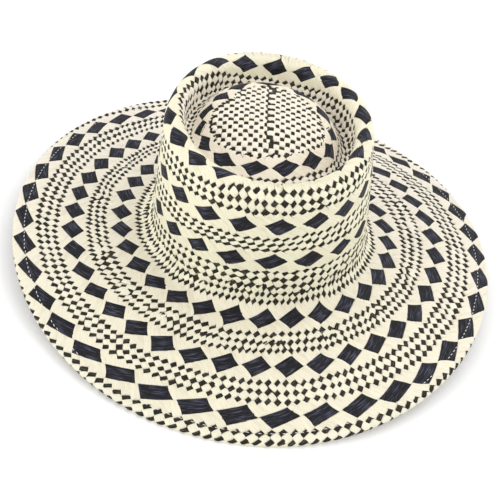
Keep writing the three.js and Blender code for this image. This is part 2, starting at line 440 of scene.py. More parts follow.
stops.sort(key=lambda stop: stop[0])
stop_courses, stop_places, stop_slides = (np.array(values) for values in zip(*stops, strict=True))
print("Courses whose place is known all round:", len(stops))

# Waves round the hat, the length of a wave along it in mm, and how far it moves the straw in mm
WANDERS = [
    (count, wave, size, *chance.uniform(0, 2 * math.pi, 2))
    for count, wave, size in ((9, 70, 0.35), (17, 45, 0.30), (26, 31, 0.25), (41, 23, 0.16))
]


def wander(angle, along, way):
    moved = 0.0
    for count, wave, size, first, second in WANDERS:
        phase = first if way else second
        moved = moved + size * np.sin(count * np.radians(angle) + 2 * math.pi * along / wave + phase)
    return moved


def between_stops(table, course, angle):
    after = np.clip(np.searchsorted(stop_courses, course, side="right"), 1, len(stop_courses) - 1)
    before = after - 1
    share = (course - stop_courses[before]) / (stop_courses[after] - stop_courses[before])
    return value_at(table, before, angle) * (1 - share) + value_at(table, after, angle) * share


def slid(course, angle):
    """How many degrees the lean moves a point of the chart round the hat."""
    return between_stops(stop_slides, course, angle)


def along_of(course, angle):
    place = between_stops(stop_places, course, angle)
    return np.clip(place + wander(angle, place, 0), SHEET_START, HEM_END)


# %% [markdown]
# ## Floats of straw
# Each stretch of straw that shows between two dips is one float. In the slanting grid of
# crossings a black straw runs one way and a cream straw the other, so a float is a strip in that
# grid: where its middle is, how wide it is, and where it starts and ends. Inside the hat the two
# colours change places, because what is over on one side is under on the other.

# %% One list of floats for each side of the sheet
FIELDS = (
    "black", "course", "angle", "pitch", "drift", "middle",
    "half", "start", "end", "swell", "lean", "tone",
)
# Half width and reach of a float in the checks, in straws, and how much larger it is where the
# weave opens round new straws
BLACK_HALF, BLACK_REACH = 0.31, 0.60
CREAM_HALF, CREAM_REACH = 0.59, 0.73
OPENED = 1.35
# How uneven the hands were, as shares of a straw or of a float
UNEVEN_WIDTH, UNEVEN_LENGTH = 0.10, 0.07
UNEVEN_COURSE, UNEVEN_PLACE, UNEVEN_LEAN = 0.09, 0.05, 0.07
# The range of tones in the checks, and in the long floats of the diamonds
CHECK_TONES, LONG_TONES = (0, 0.48), (0.52, 1)


def new_floats():
    return {"check": [], "long": []}


def check_float(floats, black, course, angle, pitch, drift, loose, open_here):
    half, reach = (BLACK_HALF, BLACK_REACH) if black else (CREAM_HALF, CREAM_REACH)
    if open_here:
        half, reach = half * OPENED, reach * OPENED
    half *= 1 + chance.normal(0, UNEVEN_WIDTH) * loose
    reach *= 1 + chance.normal(0, UNEVEN_LENGTH) * loose
    course += chance.normal(0, UNEVEN_COURSE) * loose
    angle += chance.normal(0, UNEVEN_PLACE) * pitch * loose
    lean = chance.normal(0, UNEVEN_LEAN) * loose
    tone = chance.uniform(*CHECK_TONES)
    floats["check"].append((black, course, angle, pitch, drift, 0, half, -reach, reach, 0, lean, tone))


def long_float(floats, black, course, angle, pitch, middle, half, start, end, swell):
    tone = chance.uniform(*LONG_TONES)
    floats["long"].append((black, course, angle, pitch, 0, middle, half, start, end, swell, 0, tone))


# %% [markdown]
# In a diamond's middle, four straws lie over four. Each is split in two here, because the real
# straws are laid in pairs. The other family's straws come up at its corners and reach over to the
# next course of checks. They swell out over the diamond's ends, which gives it hollow sides.

# %% Diamonds
PAIR = 2
# How far a long float dips under its neighbours, stays clear of the checks and swells, in straws
TUCK = 0.12
MARK_EDGE = 0.22
SWELL = 0.08
# How much wider than its share of the diamond a straw is, over it and beside it
OVER_WIDTH, BESIDE_WIDTH = 1.15, 1.2
UNEVEN_SIZE, UNEVEN_SWELL = 0.025, 0.06
UNEVEN_OVER, UNEVEN_BESIDE, UNEVEN_NEAR = 0.075, 0.05, 0.03


def diamond(floats, black, course, angle, pitch, pressed):
    edge = STRAWS_OVER / 2
    straws = STRAWS_OVER * PAIR
    half = edge / straws
    size = 1 + chance.normal(0, UNEVEN_SIZE)
    over_edge = (edge - pressed) * size
    swell = pressed + SWELL
    for straw in range(straws):
        middle = -edge + half * (2 * straw + 1)
        strand = -edge + 0.5 + straw // PAIR
        first, last = chance.normal(0, UNEVEN_OVER, 2)
        long_float(
            floats, black, course, angle, pitch, middle * over_edge / edge, half * OVER_WIDTH,
            -over_edge - TUCK + first, over_edge + TUCK + last, chance.normal(0, UNEVEN_SWELL),
        )
        side = (middle + edge) / (2 * edge)
        near = over_edge - TUCK + chance.normal(0, UNEVEN_NEAR)
        first, last = chance.normal(0, UNEVEN_BESIDE, 2)
        long_float(
            floats, not black, course, angle, pitch, middle, half * BESIDE_WIDTH,
            -FIRST_CHECK - strand + MARK_EDGE + first, -near, swell * side**2,
        )
        long_float(
            floats, not black, course, angle, pitch, middle, half * BESIDE_WIDTH,
            near, FIRST_CHECK - strand - MARK_EDGE + last, -swell * (1 - side) ** 2,
        )


def weave_ring(floats, name, over_black):
    angles = angles_at(ring_passed[name], ring_count[name])
    for angle, width in zip(angles, spacing(angles), strict=True):
        diamond(floats, over_black, middle_course[name], angle, width / STRAWS_OVER, SIZES[name][2])


# %% [markdown]
# Between two rings each straw leads from the upper ring to the lower one, and drifts round the
# hat by about a tenth of a straw with every course. Where the lower ring has more diamonds, new
# straws are laid in two at a time, and the weave opens into a small star round them until they
# have found their room.

# %% Bands of checks
# Straws that are laid in at a time, and how many straws each one drifts with every course
LAID_IN = 2
DRIFT = 0.11
# How unevenly the openings are spread, in openings, and where in a band new straws start
SCATTER = 0.3
LAID_IN_AT = (0.35, 0.65)
# The share of a band round an opening that is looser, how loose, and courses that stand open
LOOSE_REACH, LOOSER = 0.4, 1.6
OPEN_COURSES = 1.2


def lay_in_straws(before, after):
    """Each straw's angle at the upper and the lower ring, and the share of the band it starts at."""
    upper_count, lower_count = (STRAWS_OVER * ring_count[name] for name in (before, after))
    first, last = middle_course[before] + FIRST_CHECK, middle_course[after] - FIRST_CHECK
    upper = angles_at(STRAWS_OVER * ring_passed[before], upper_count)
    upper = upper + slid(first, upper)
    lower = angles_at(STRAWS_OVER * ring_passed[after], lower_count)
    lower = lower + slid(last, lower)
    lower_turns = np.r_[lower - 360, lower, lower + 360]
    leads_to = upper - DRIFT * (last - first) * 360 / lower_count
    wanted = np.interp(leads_to, lower_turns, np.arange(3 * lower_count))
    openings = (lower_count - upper_count) // LAID_IN
    room = wanted - wanted[0] - np.arange(upper_count)
    opened = np.floor(room / LAID_IN + 0.5 + chance.uniform(-SCATTER, SCATTER, upper_count))
    opened = np.maximum.accumulate(np.clip(opened, 0, openings)).astype(int)
    slots = np.arange(upper_count) + LAID_IN * (opened - opened[0])
    base = int(round(np.mean(wanted - slots)))
    top = np.interp(np.arange(lower_count), np.r_[slots, lower_count], np.r_[upper, upper[0] + 360])
    bottom = lower_turns[np.arange(base, base + lower_count)]
    starts = np.ones(lower_count)
    starts[slots] = 0.0
    added = np.flatnonzero(starts > 0)
    starts[added] = np.repeat(chance.uniform(*LAID_IN_AT, len(added) // LAID_IN), LAID_IN)
    drift = (bottom - top)[slots] * lower_count / 360 / (last - first)
    print(f"{before} to {after}: {len(added)} straws laid in, drift {drift.min():.2f} to {drift.max():.2f}")
    return top, bottom, starts


def weave_course(floats, course, angles, black, drift, loose, opened=None):
    opened = np.zeros(len(angles), bool) if opened is None else opened
    for angle, pitch, moved, slack, wide in zip(angles, spacing(angles), drift, loose, opened, strict=True):
        check_float(floats, black, course, angle, pitch, moved, slack, wide)


def evened(angles, rounds=4):
    """The same straws, pushed apart where they lie close together."""
    for _ in range(rounds):
        ring = np.r_[angles[-1] - 360, angles, angles[0] + 360]
        angles = angles / 2 + (ring[2:] + ring[:-2]) / 4
    return angles


def weave_band(floats, straws, before, after, over_black):
    top, bottom, starts = straws
    first, last = middle_course[before] + FIRST_CHECK, middle_course[after] - FIRST_CHECK
    drift = (bottom - top) / (last - first)
    for course in range(first, last + 1):
        share = (course - first) / (last - first)
        there = starts <= share
        angles = (top + drift * (course - first))[there]
        angles = angles + (evened(angles) - angles) * math.sin(math.pi * share)
        new_nearby = (starts > 0) & (np.abs(starts - share) < LOOSE_REACH)
        beside = new_nearby | np.roll(new_nearby, 1) | np.roll(new_nearby, -1)
        loose = np.where(beside[there], LOOSER, 1.0)
        on_check = (course - first) % 2 == 0
        if not on_check:
            angles = (angles + np.r_[angles[1:], angles[0] + 360]) / 2
        opened = ((starts > 0) & (share - starts < OPEN_COURSES / (last - first)))[there]
        weave_course(floats, course, angles, over_black == on_check, drift[there], loose, opened)


def weave_beside(floats, name, side, courses, over_black, looseness):
    """Courses of checks that lie between one ring and the end of the sheet."""
    count = STRAWS_OVER * ring_count[name]
    for step in range(courses):
        on_check = step % 2 == 0
        course = middle_course[name] + side * (FIRST_CHECK + step)
        angles = angles_at(STRAWS_OVER * ring_passed[name], count, 0.0 if on_check else 0.5)
        drift = side * (slid(course + side, angles) - slid(course, angles))
        angles = angles + slid(course, angles)
        weave_course(floats, course, angles, over_black == on_check, drift, np.full(count, looseness))


laid = [lay_in_straws(before, after) for before, after in zip(names, names[1:], strict=False)]

# %% [markdown]
# The inside is woven from the same chart with the two colours changed over. Past the last ring
# the checks go on to the hem. Before the first ring only one course of them is needed, because
# the middle of the tip is woven in its own way.

# %% The whole sheet, outside and inside
# Courses of checks towards the tip's middle and towards the hem, and how loose they are
TIP_COURSES, TIP_LOOSE = 1, 2.0
EDGE_COURSES, EDGE_LOOSE = 8, 1.0


def weave_sheet(over_black):
    floats = new_floats()
    weave_beside(floats, names[0], -1, TIP_COURSES, over_black, TIP_LOOSE)
    for name in names:
        weave_ring(floats, name, over_black)
    for straws, before, after in zip(laid, names, names[1:], strict=False):
        weave_band(floats, straws, before, after, over_black)
    weave_beside(floats, names[-1], 1, EDGE_COURSES, over_black, EDGE_LOOSE)
    return floats


outside = weave_sheet(True)
inside = weave_sheet(False)
print("Floats outside:", {kind: len(rows) for kind, rows in outside.items()})

# %% [markdown]
# ## The middle of the tip
# The weaver starts the hat here with a flat piece of plain checks, whose straws run straight
# across and straight along. It is made of two halves that meet in a dark zigzag line from front
# to back, with a dark knot at each end. Its grid is straight, so it has its own map: a straight
# step across or along the piece is turned into an angle and a distance along the sheet.

# %% The tip's grid
TIP_SHIFT = (-2.5, 1.0)
TIP_STEP = 3.9
TIP_TURN = math.radians(6)
TIP_MARGIN = 1.4
TIP_STOP = int(np.searchsorted(stop_courses, -FIRST_CHECK))
# One course that stands for all floats of the tip's own grid, and the rows of that grid
TIP_COURSE = -99
TIP_ROWS = range(-14, 15)
# Half width and reach of a float here, in straws, and the range of its unevenness
TIP_BLACK, TIP_CREAM = (0.34, 0.50), (0.62, 0.74)
TIP_WIDTHS, TIP_REACHES = (0.85, 1.15), (0.92, 1.08)
TIP_UNEVEN_PLACE, TIP_UNEVEN_LEAN = 0.05, 0.08
# The seam's rows at front and back, how far it swings to each side, and how many of these swings
# away the cream floats lie
SEAM_FRONT, SEAM_BACK = 8, -9
SEAM_SIDE, CREAM_BESIDE = 0.26, -1.8
KNOT_ROWS, KNOT_SHIFT = 2, 0.15
# Stretch and half width of the floats that make the seam and the knots
SEAM_BLACK, SEAM_CREAM, KNOT_BLACK = (0.80, 0.35), (0.75, 0.44), (1.05, 0.44)
TOP_REACH = 70
HALF_WIDTHS = OVALS[: np.searchsorted(ALONG, TOP_REACH), 0]
HALF_LENGTHS = OVALS[: len(HALF_WIDTHS), 1]
TOP_ALONG = ALONG[: len(HALF_WIDTHS)]


def tip_place(across, forward):
    """The angle and the place along the sheet of a point of the tip, given in mm from its centre."""
    x = TIP_SHIFT[0] + across * math.cos(TIP_TURN) + forward * math.sin(TIP_TURN)
    y = TIP_SHIFT[1] + across * math.sin(TIP_TURN) - forward * math.cos(TIP_TURN)
    ratio = np.interp(np.hypot(x, y), HALF_WIDTHS, HALF_WIDTHS / np.maximum(HALF_LENGTHS, 1e-6))
    # At the very middle the oval is only a point, which has no ratio of its own
    ratio = np.clip(ratio, 0.9, 1.1)
    angle = np.degrees(np.arctan2(y * ratio, x)) + 90
    return angle, np.interp(np.hypot(x, y * ratio), HALF_WIDTHS, TOP_ALONG)


def tip_float(rows, black, row, column, stretch=1.0, width=None):
    angle, along = tip_place(column * TIP_STEP, row * TIP_STEP)
    if along > np.interp(angle, fine_angles, stop_places[TIP_STOP]) + TIP_MARGIN:
        return
    half, reach = TIP_BLACK if black else TIP_CREAM
    half, reach = width or half, reach * stretch
    half *= chance.uniform(*TIP_WIDTHS)
    reach *= chance.uniform(*TIP_REACHES)
    row += chance.normal(0, TIP_UNEVEN_PLACE)
    column += chance.normal(0, TIP_UNEVEN_PLACE)
    lean = chance.normal(0, TIP_UNEVEN_LEAN)
    tone = chance.uniform(*CHECK_TONES)
    rows.append((black, row, column, 1, 0, 0, half, -reach, reach, 0, lean, tone))


def weave_tip(over_black):
    rows = []
    for row in TIP_ROWS:
        side = SEAM_SIDE if row % 2 else -SEAM_SIDE
        on_seam = SEAM_BACK <= row <= SEAM_FRONT
        in_knot = on_seam and min(row - SEAM_BACK, SEAM_FRONT - row) < KNOT_ROWS
        for column in TIP_ROWS:
            if column == 0 and on_seam:
                tip_float(rows, over_black, row, side, *SEAM_BLACK)
                tip_float(rows, not over_black, row, CREAM_BESIDE * side, *SEAM_CREAM)
            elif column == 1 and in_knot:
                tip_float(rows, over_black, row, column - KNOT_SHIFT, *KNOT_BLACK)
            else:
                tip_float(rows, over_black == ((row + column) % 2 == 0), row, column)
    return rows


tip_outside, tip_inside = weave_tip(True), weave_tip(False)
print("Floats in the middle of the tip:", len(tip_outside), "outside,", len(tip_inside), "inside")

# %% [markdown]
# ## From floats to arched sheets
# A float rises from between its neighbours, lies over the crossing and dips again, and straw
# arches across its width. So each float becomes a small grid of points: its place on the sheet
# comes from the chart, and its height above the sheet comes from the two arches.

# %% Heights of a float
# Millimetres from the sheet's skin to a float's ends and to its back
LOW, HIGH = -0.9, 0.3
# On the hem the backs lie lower, and the change to that takes a few millimetres
HEM_HIGH, HEM_BLEND = -0.05, 4
SHEET_THICK = 1.5
# The straws over which a float rises to its full height, and how its rows gather at its ends
RISE = 0.30
GATHERED = 0.03
# How much lower a float's sides are than its back, and how quickly they fall away
LONG_ARCH, BLACK_ARCH, CREAM_ARCH, ARCH_POWER = 0.10, 0.25, 0.45, 2.5
# How much narrower the ends of long black and short cream floats are, and how suddenly
LONG_TAPER, LONG_TAPER_POWER = 0.35, 10
CREAM_TAPER, CREAM_TAPER_POWER = 0.25, 3
SWELL_POWER = 4


def arched_grid(rows, along_count, across_count, laid_long, tip, inner):
    """Points in mm in a grid for each float, and for each point its height's share and its place."""
    columns = np.array(rows, float).T[:, :, None, None]
    table = dict(zip(FIELDS, columns, strict=True))
    s = np.linspace(0, 1, along_count)[None, :, None]
    q = np.linspace(-1, 1, across_count)[None, None, :]
    length = table["end"] - table["start"]
    black = table["black"] > 0.5
    if laid_long:
        s = s - GATHERED * np.sin(2 * math.pi * s)
    rise = np.sin(np.clip(np.minimum(s, 1 - s) * length / RISE, 0, 1) * math.pi / 2)
    to_end = np.abs(2 * s - 1)
    if laid_long:
        arch = 1 - LONG_ARCH * q**2
        narrow = 1 - np.where(black, LONG_TAPER, 0.0) * to_end**LONG_TAPER_POWER
    else:
        arch = 1 - np.where(black, BLACK_ARCH, CREAM_ARCH) * np.abs(q) ** ARCH_POWER
        narrow = 1 - np.where(black, 0.0, CREAM_TAPER) * to_end**CREAM_TAPER_POWER
    from_diamond = np.where(table["start"] < 0, 1 - s, s)
    swollen = np.where(black, np.sin(math.pi * s), 1 - from_diamond**SWELL_POWER)
    bend = table["swell"] * swollen + table["lean"] * (s - 0.5) * length
    across = table["middle"] + table["half"] * q * narrow + bend
    run = table["start"] + length * s
    if tip:
        sideways = table["angle"] + np.where(black, run, across)
        forward = table["course"] + np.where(black, across, run)
        angle, along = tip_place(sideways * TIP_STEP, forward * TIP_STEP)
    else:
        first = np.where(black, across, run)
        second = np.where(black, run, across)
        further = first + second
        course = table["course"] + further
        angle = table["angle"] + (first - second) / 2 * table["pitch"] + table["drift"] * further
        if laid_long:
            angle = angle + slid(course, angle)
        along = along_of(course, angle)
        angle = angle + wander(angle, along, 1) * table["pitch"] / (2 * CHECK_STEP)
    share = np.broadcast_to(rise * arch, along.shape)
    high = np.interp(along, [EDGE - HEM_BLEND, EDGE], [HIGH, HEM_HIGH])
    height = LOW + (high - LOW) * share
    if inner:
        height = -SHEET_THICK - height
    points = sheet_point(angle, along) + sheet_normal(angle, along) * height[..., None]
    behind = 0.5 - 0.5 * np.cos(np.radians(angle))
    return points, share, along, behind


# %% [markdown]
# All floats of one colour in one part of the hat go into one mesh. Each point also carries what
# the finish needs: a place across and along its own straw, a number that sets its straw's tone,
# how deep it lies, and how far to the back of the hat it is.

# %% One mesh from many grids
# Each straw takes its fibres from a place of its own on the map
MAP_SPREAD = (9, 37)


def fill_mesh(name, points, widths, lengths, tones, depths, behind, flip):
    count, rows, columns, _ = points.shape
    mesh = bpy.data.meshes.new(name)
    flat = points.reshape(-1, 3) * MM
    grid = np.arange(rows * columns).reshape(rows, columns)
    quad = np.stack([grid[:-1, :-1], grid[1:, :-1], grid[1:, 1:], grid[:-1, 1:]], -1).reshape(-1, 4)
    if flip:
        quad = quad[:, ::-1]
    faces = (quad[None] + np.arange(count)[:, None, None] * rows * columns).reshape(-1, 4)
    mesh.vertices.add(len(flat))
    mesh.vertices.foreach_set("co", flat.astype(np.float32).ravel())
    mesh.loops.add(faces.size)
    mesh.loops.foreach_set("vertex_index", faces.astype(np.int32).ravel())
    mesh.polygons.add(len(faces))
    mesh.polygons.foreach_set("loop_start", np.arange(0, faces.size, 4, dtype=np.int32))
    mesh.update(calc_edges=True)
    mesh.polygons.foreach_set("use_smooth", np.ones(len(faces), bool))
    across, run, tone = np.broadcast_arrays(
        widths[:, None, None] * np.linspace(-1, 1, columns)[None, None, :],
        lengths[:, None, None] * np.linspace(0, 1, rows)[None, :, None],
        tones[:, None, None],
    )
    place = np.stack([across + MAP_SPREAD[0] * tone, run + MAP_SPREAD[1] * tone], -1)
    uv = place.reshape(-1, 2)[faces.ravel()]
    layer = mesh.uv_layers.new(name="straw_map")
    layer.data.foreach_set("uv", uv.astype(np.float32).ravel())
    for label, values in (("tone", tone), ("depth", depths), ("behind", behind)):
        data = mesh.attributes.new(label, "FLOAT", "POINT")
        data.data.foreach_set("value", np.ascontiguousarray(values, np.float32).ravel())
    return mesh


def straw_piece(name, grids, flip):
    """One object from grids of several shapes, each with what fill_mesh needs."""
    meshes = [fill_mesh(name, *grid, flip) for grid in grids]
    made = [bpy.data.objects.new(name, mesh) for mesh in meshes]
    for item in made:
        bpy.context.scene.collection.objects.link(item)
    if len(made) > 1:
        with bpy.context.temp_override(active_object=made[0], selected_editable_objects=made):
            bpy.ops.object.join()
    made[0].name = name
    return made[0]


# %% [markdown]
# One mesh for the whole sheet would be slow to work with, and a straight cut through it would
# halve the floats. So each float goes whole to the tip, the crown or the brim, by its course in
# the weave, and black and cream straws are pieces of their own. The inside has fewer points.

# %% Which floats go into which piece
OUTER_END, INNER_END = HEM_END - 2.5, EDGE - 9
# Rows and columns of points in a float's grid
OUTER_POINTS = {"check": (7, 5), "tip": (7, 5), "long": (12, 4)}
INNER_POINTS = {"check": (5, 4), "tip": (5, 4), "long": (8, 3)}


def sort_out(floats, colour, low, high, inner):
    """The grids of one colour that are woven between two courses."""
    grids = []
    end = INNER_END if inner else OUTER_END
    for kind, rows in floats.items():
        tip = kind == "tip"
        rows = [row for row in rows if row[0] == colour and low <= (TIP_COURSE if tip else row[1]) < high]
        if not rows:
            continue
        along_count, across_count = (INNER_POINTS if inner else OUTER_POINTS)[kind]
        points, depth, along, behind = arched_grid(
            rows, along_count, across_count, kind == "long", tip, inner
        )
        half_way, mid_width = along_count // 2, across_count // 2
        keep = along[:, half_way, mid_width] < end
        points, depth, behind = points[keep], depth[keep], behind[keep]
        width = np.linalg.norm(points[:, half_way, -1] - points[:, half_way, 0], axis=-1) / 2
        length = np.linalg.norm(points[:, -1, mid_width] - points[:, 0, mid_width], axis=-1)
        tones = np.array([row[-1] for row in rows])[keep]
        grids.append((points, width, length, tones, depth, behind))
    return grids


outside["tip"], inside["tip"] = tip_outside, tip_inside
before_ring = STRAWS_OVER + 0.5
rim_start, brim_start = (middle_course[name] - before_ring for name in ("rim", "brim_root"))
stretches = {
    "tip": (TIP_COURSE, rim_start), "crown": (rim_start, brim_start), "brim": (brim_start, math.inf),
}
pieces = {}
for part, (low, high) in stretches.items():
    for colour, word in ((True, "black"), (False, "cream")):
        for floats, inner, where in ((outside, False, part), (inside, True, f"{part}_inside")):
            name = f"{where}_{word}_straw"
            pieces[name] = straw_piece(name, sort_out(floats, colour, low, high, inner), inner)
for name, piece in pieces.items():
    print(name, len(piece.data.polygons) * 2, "triangles")

# %% [markdown]
# ## The core
# Between the floats a real sheet shows the shaded sides of the straws below. A thin closed wall
# in the middle of the sheet stands for them, so that no light comes through.

# %% The core's wall
CORE_OUTER, CORE_INNER = -0.7, -0.95
CORE_TURNS = 96
CORE_STEP = 3


def core_piece(name, low, high):
    stops = np.linspace(low, high, int((high - low) / CORE_STEP))
    angles = np.arange(CORE_TURNS) * 360 / CORE_TURNS
    angle, along = np.meshgrid(angles, stops)
    normal = sheet_normal(angle, along)
    point = sheet_point(angle, along)
    skins = [point + normal * CORE_OUTER, (point + normal * CORE_INNER)[::-1]]
    rings = np.concatenate(skins).reshape(-1, 3) * MM
    count = 2 * len(stops)
    faces = []
    for ring in range(count):
        following = (ring + 1) % count
        for step in range(CORE_TURNS):
            beside = (step + 1) % CORE_TURNS
            faces.append(
                (ring * CORE_TURNS + step, following * CORE_TURNS + step,
                 following * CORE_TURNS + beside, ring * CORE_TURNS + beside)
            )
    mesh = bpy.data.meshes.new(name)
    mesh.from_pydata(rings.tolist(), [], faces)
    mesh.polygons.foreach_set("use_smooth", np.ones(len(faces), bool))
    item = bpy.data.objects.new(name, mesh)
    bpy.context.scene.collection.objects.link(item)
    return item


cores = {
    "tip": core_piece("tip_core", SHEET_START, CREST),
    "crown": core_piece("crown_core", CREST, FOOT),
    "brim": core_piece("brim_core", FOOT, HEM_END - 1),
}
print("Core faces:", {name: len(core.data.polygons) for name, core in cores.items()})

# %% [markdown]
# ## The line of machine stitches
# The brim's edge is turned under and held by one line of white thread. Each stitch is a short
# rounded bar that sinks into the straw at both ends. A bar bent over the sheet's own curve is
# closer to thread than a drawn line would be.

# %% Stitches
# Millimetres from stitch to stitch, its length and half its thickness, then how far its ends sink
# in, how far it slants and how much flatter than round it is
STITCH_STEP, STITCH_LENGTH, STITCH_HALF = 4.0, 2.6, 0.22
STITCH_SINK, STITCH_SLANT, STITCH_FLAT = 0.35, 0.35, 0.8
STITCH_ROWS, STITCH_SIDES = 6, 8
UNEVEN_STITCH = 0.12
# From the brim's edge to the line, on the sheet and on the hem, and its heights above the straw
INSET_ABOVE, INSET_BELOW = 9.3, 7.8
RAISED_ABOVE, RAISED_BELOW = 0.12, 0.05


def stitch_line(name, along, height):
    angles = np.linspace(-180, 180, 721)
    line = sheet_point(angles, np.full_like(angles, along))
    passed = np.r_[0, np.cumsum(np.linalg.norm(np.diff(line, axis=0), axis=1))]
    count = int(passed[-1] / STITCH_STEP)
    starts = np.arange(count) * passed[-1] / count
    s = np.linspace(0, 1, STITCH_ROWS)
    round_bar = np.arange(STITCH_SIDES) * 2 * math.pi / STITCH_SIDES
    moved = chance.normal(0, UNEVEN_STITCH, count)[:, None]
    distance = starts[:, None] + s[None] * STITCH_LENGTH + moved
    angle = np.interp(distance, passed, angles)[..., None]
    skew = chance.normal(0, UNEVEN_STITCH, count)[:, None, None]
    skew = skew + (s - 0.5)[None, :, None] * STITCH_SLANT
    to_end = np.abs(2 * s - 1)[None, :, None]
    thick = STITCH_HALF * np.sqrt(np.clip(1 - to_end**4, 0.05, 1))
    place = along + skew + thick * np.cos(round_bar)
    raised = height - STITCH_SINK * to_end**2 + thick * np.sin(round_bar) * STITCH_FLAT
    angle, place, raised = np.broadcast_arrays(angle, place, raised)
    points = sheet_point(angle, place) + sheet_normal(angle, place) * raised[..., None]
    points = np.concatenate([points, points[:, :, :1]], 2)
    tones = chance.random(count)
    widths, lengths = np.full(count, 0.5), np.full(count, STITCH_LENGTH)
    level = np.ones(points.shape[:3])
    return straw_piece(name, [(points, widths, lengths, tones, level, level)], False)


stitches = {
    "stitches_above": stitch_line("stitches_above", EDGE - INSET_ABOVE, HIGH + RAISED_ABOVE),
    "stitches_below": stitch_line("stitches_below", EDGE + INSET_BELOW, HEM_HIGH + RAISED_BELOW),
}
print("Stitches:", {name: len(item.data.polygons) for name, item in stitches.items()})

# %% [markdown]
# ## Finishes
# Dry straw is matt, with fine fibres along its length, and each straw has its own tone. The
# finish reads the straw's own map, so that the fibres always follow the straw, however it turns.
# The parts of a float that dip between its neighbours are painted duller and darker than its
# back: this is painted shade.

# %% Small helpers for nodes
STRAW_SHINE = 0.2
# How often in a millimetre the fibres change across the straw and along it, their fineness, and
# their depth in metres
FIBRES_ACROSS, FIBRES_ALONG = 1.3, 0.14
FIBRE_DETAIL = 3.0
FIBRE_RELIEF = 0.3 * MM
# The share of the way to the back where the straw is palest, and a tint that changes nothing
MOST_BLEACHED = 0.8
UNCHANGED = (1.0, 1.0, 1.0)


def finish(name, roughness):
    material = bpy.data.materials.new(name)
    material.use_nodes = True
    nodes = material.node_tree.nodes
    shader = nodes["Principled BSDF"]
    shader.inputs["Roughness"].default_value = roughness
    shader.inputs["Specular IOR Level"].default_value = STRAW_SHINE
    return material, nodes, material.node_tree.links, shader


def fibre_noise(nodes, links, across, run):
    straw_map = nodes.new("ShaderNodeUVMap")
    straw_map.uv_map = "straw_map"
    stretch = nodes.new("ShaderNodeMapping")
    stretch.inputs["Scale"].default_value = (across, run, 1)
    noise = nodes.new("ShaderNodeTexNoise")
    noise.inputs["Scale"].default_value = 1.0
    noise.inputs["Detail"].default_value = FIBRE_DETAIL
    links.new(straw_map.outputs["UV"], stretch.inputs["Vector"])
    links.new(stretch.outputs["Vector"], noise.inputs["Vector"])
    return noise.outputs["Fac"]


def ramp(nodes, links, source, stops):
    node = nodes.new("ShaderNodeValToRGB")
    while len(node.color_ramp.elements) < len(stops):
        node.color_ramp.elements.new(0.5)
    for element, (place, colour) in zip(node.color_ramp.elements, stops, strict=True):
        element.position = place
        element.color = (*colour, 1)
    links.new(source, node.inputs["Fac"])
    return node.outputs["Color"]


def carried(nodes, label):
    node = nodes.new("ShaderNodeAttribute")
    node.attribute_name = label
    return node.outputs["Fac"]


def multiplied(nodes, links, first, second):
    node = nodes.new("ShaderNodeMix")
    node.data_type = "RGBA"
    node.blend_type = "MULTIPLY"
    node.inputs["Factor"].default_value = 1.0
    links.new(first, node.inputs["A"])
    links.new(second, node.inputs["B"])
    return node.outputs["Result"]


def straw_finish(name, tones, fibres, depths, roughness, bump, at_back):
    material, nodes, links, shader = finish(name, roughness)
    tone = ramp(nodes, links, carried(nodes, "tone"), tones)
    bleached = ramp(nodes, links, carried(nodes, "behind"), [(0.0, UNCHANGED), (MOST_BLEACHED, at_back)])
    tone = multiplied(nodes, links, tone, bleached)
    noise = fibre_noise(nodes, links, FIBRES_ACROSS, FIBRES_ALONG)
    lined = multiplied(nodes, links, tone, ramp(nodes, links, noise, fibres))
    # Painted shade: the ramp by depth darkens the parts of a float that dip between its neighbours
    shade = ramp(nodes, links, carried(nodes, "depth"), depths)
    links.new(multiplied(nodes, links, lined, shade), shader.inputs["Base Color"])
    relief = nodes.new("ShaderNodeBump")
    relief.inputs["Strength"].default_value = bump
    relief.inputs["Distance"].default_value = FIBRE_RELIEF
    links.new(noise, relief.inputs["Height"])
    links.new(relief.outputs["Normal"], shader.inputs["Normal"])
    return material


# %% [markdown]
# The cream straw is not one colour: the tip is paler than the wall, the long floats beside the
# diamonds are deeper than the checks, and towards the back the straw is paler and less yellow. So
# there is one cream finish for each part of the hat, and the other differences are ramps in it.

# %% Cream straw
# Straw in the checks, and straw in the long floats beside the diamonds
CREAM_TONES = {
    "tip": ((0.935, 0.88, 0.76), (0.91, 0.83, 0.69)),
    "crown": ((0.905, 0.885, 0.70), (0.885, 0.85, 0.66)),
    "brim": ((0.89, 0.86, 0.70), (0.875, 0.83, 0.665)),
}
# What the tone is multiplied by at the back
BLEACHED = {"tip": UNCHANGED, "crown": (1.01, 1.005, 1.03), "brim": (1.03, 1.02, 1.13)}
CREAM_FIBRES = [(0.28, (0.80, 0.75, 0.66)), (0.44, (0.98, 0.97, 0.95)), (1.0, UNCHANGED)]
# Painted shade for the cream floats: darker and browner where they dip, full colour on their backs
CREAM_DIP_SHADE = [(0.0, (0.62, 0.56, 0.46)), (0.45, (0.97, 0.96, 0.94)), (0.7, UNCHANGED)]
DARKEST = 0.93


def four_tones(check_dark, check, beside_dark, beside):
    """Stops of a ramp: the two ends of the checks' tones, and of the long floats' tones."""
    return list(zip((*CHECK_TONES, *LONG_TONES), (check_dark, check, beside_dark, beside), strict=True))


def darker(colour):
    return tuple(value * DARKEST for value in colour)


cream_finishes = {
    part: straw_finish(
        f"cream_straw_of_the_{part}", four_tones(darker(check), check, darker(beside), beside),
        CREAM_FIBRES, CREAM_DIP_SHADE, roughness=0.7, bump=0.3, at_back=BLEACHED[part],
    )
    for part, (check, beside) in CREAM_TONES.items()
}
print("Cream finishes:", [material.name for material in cream_finishes.values()])
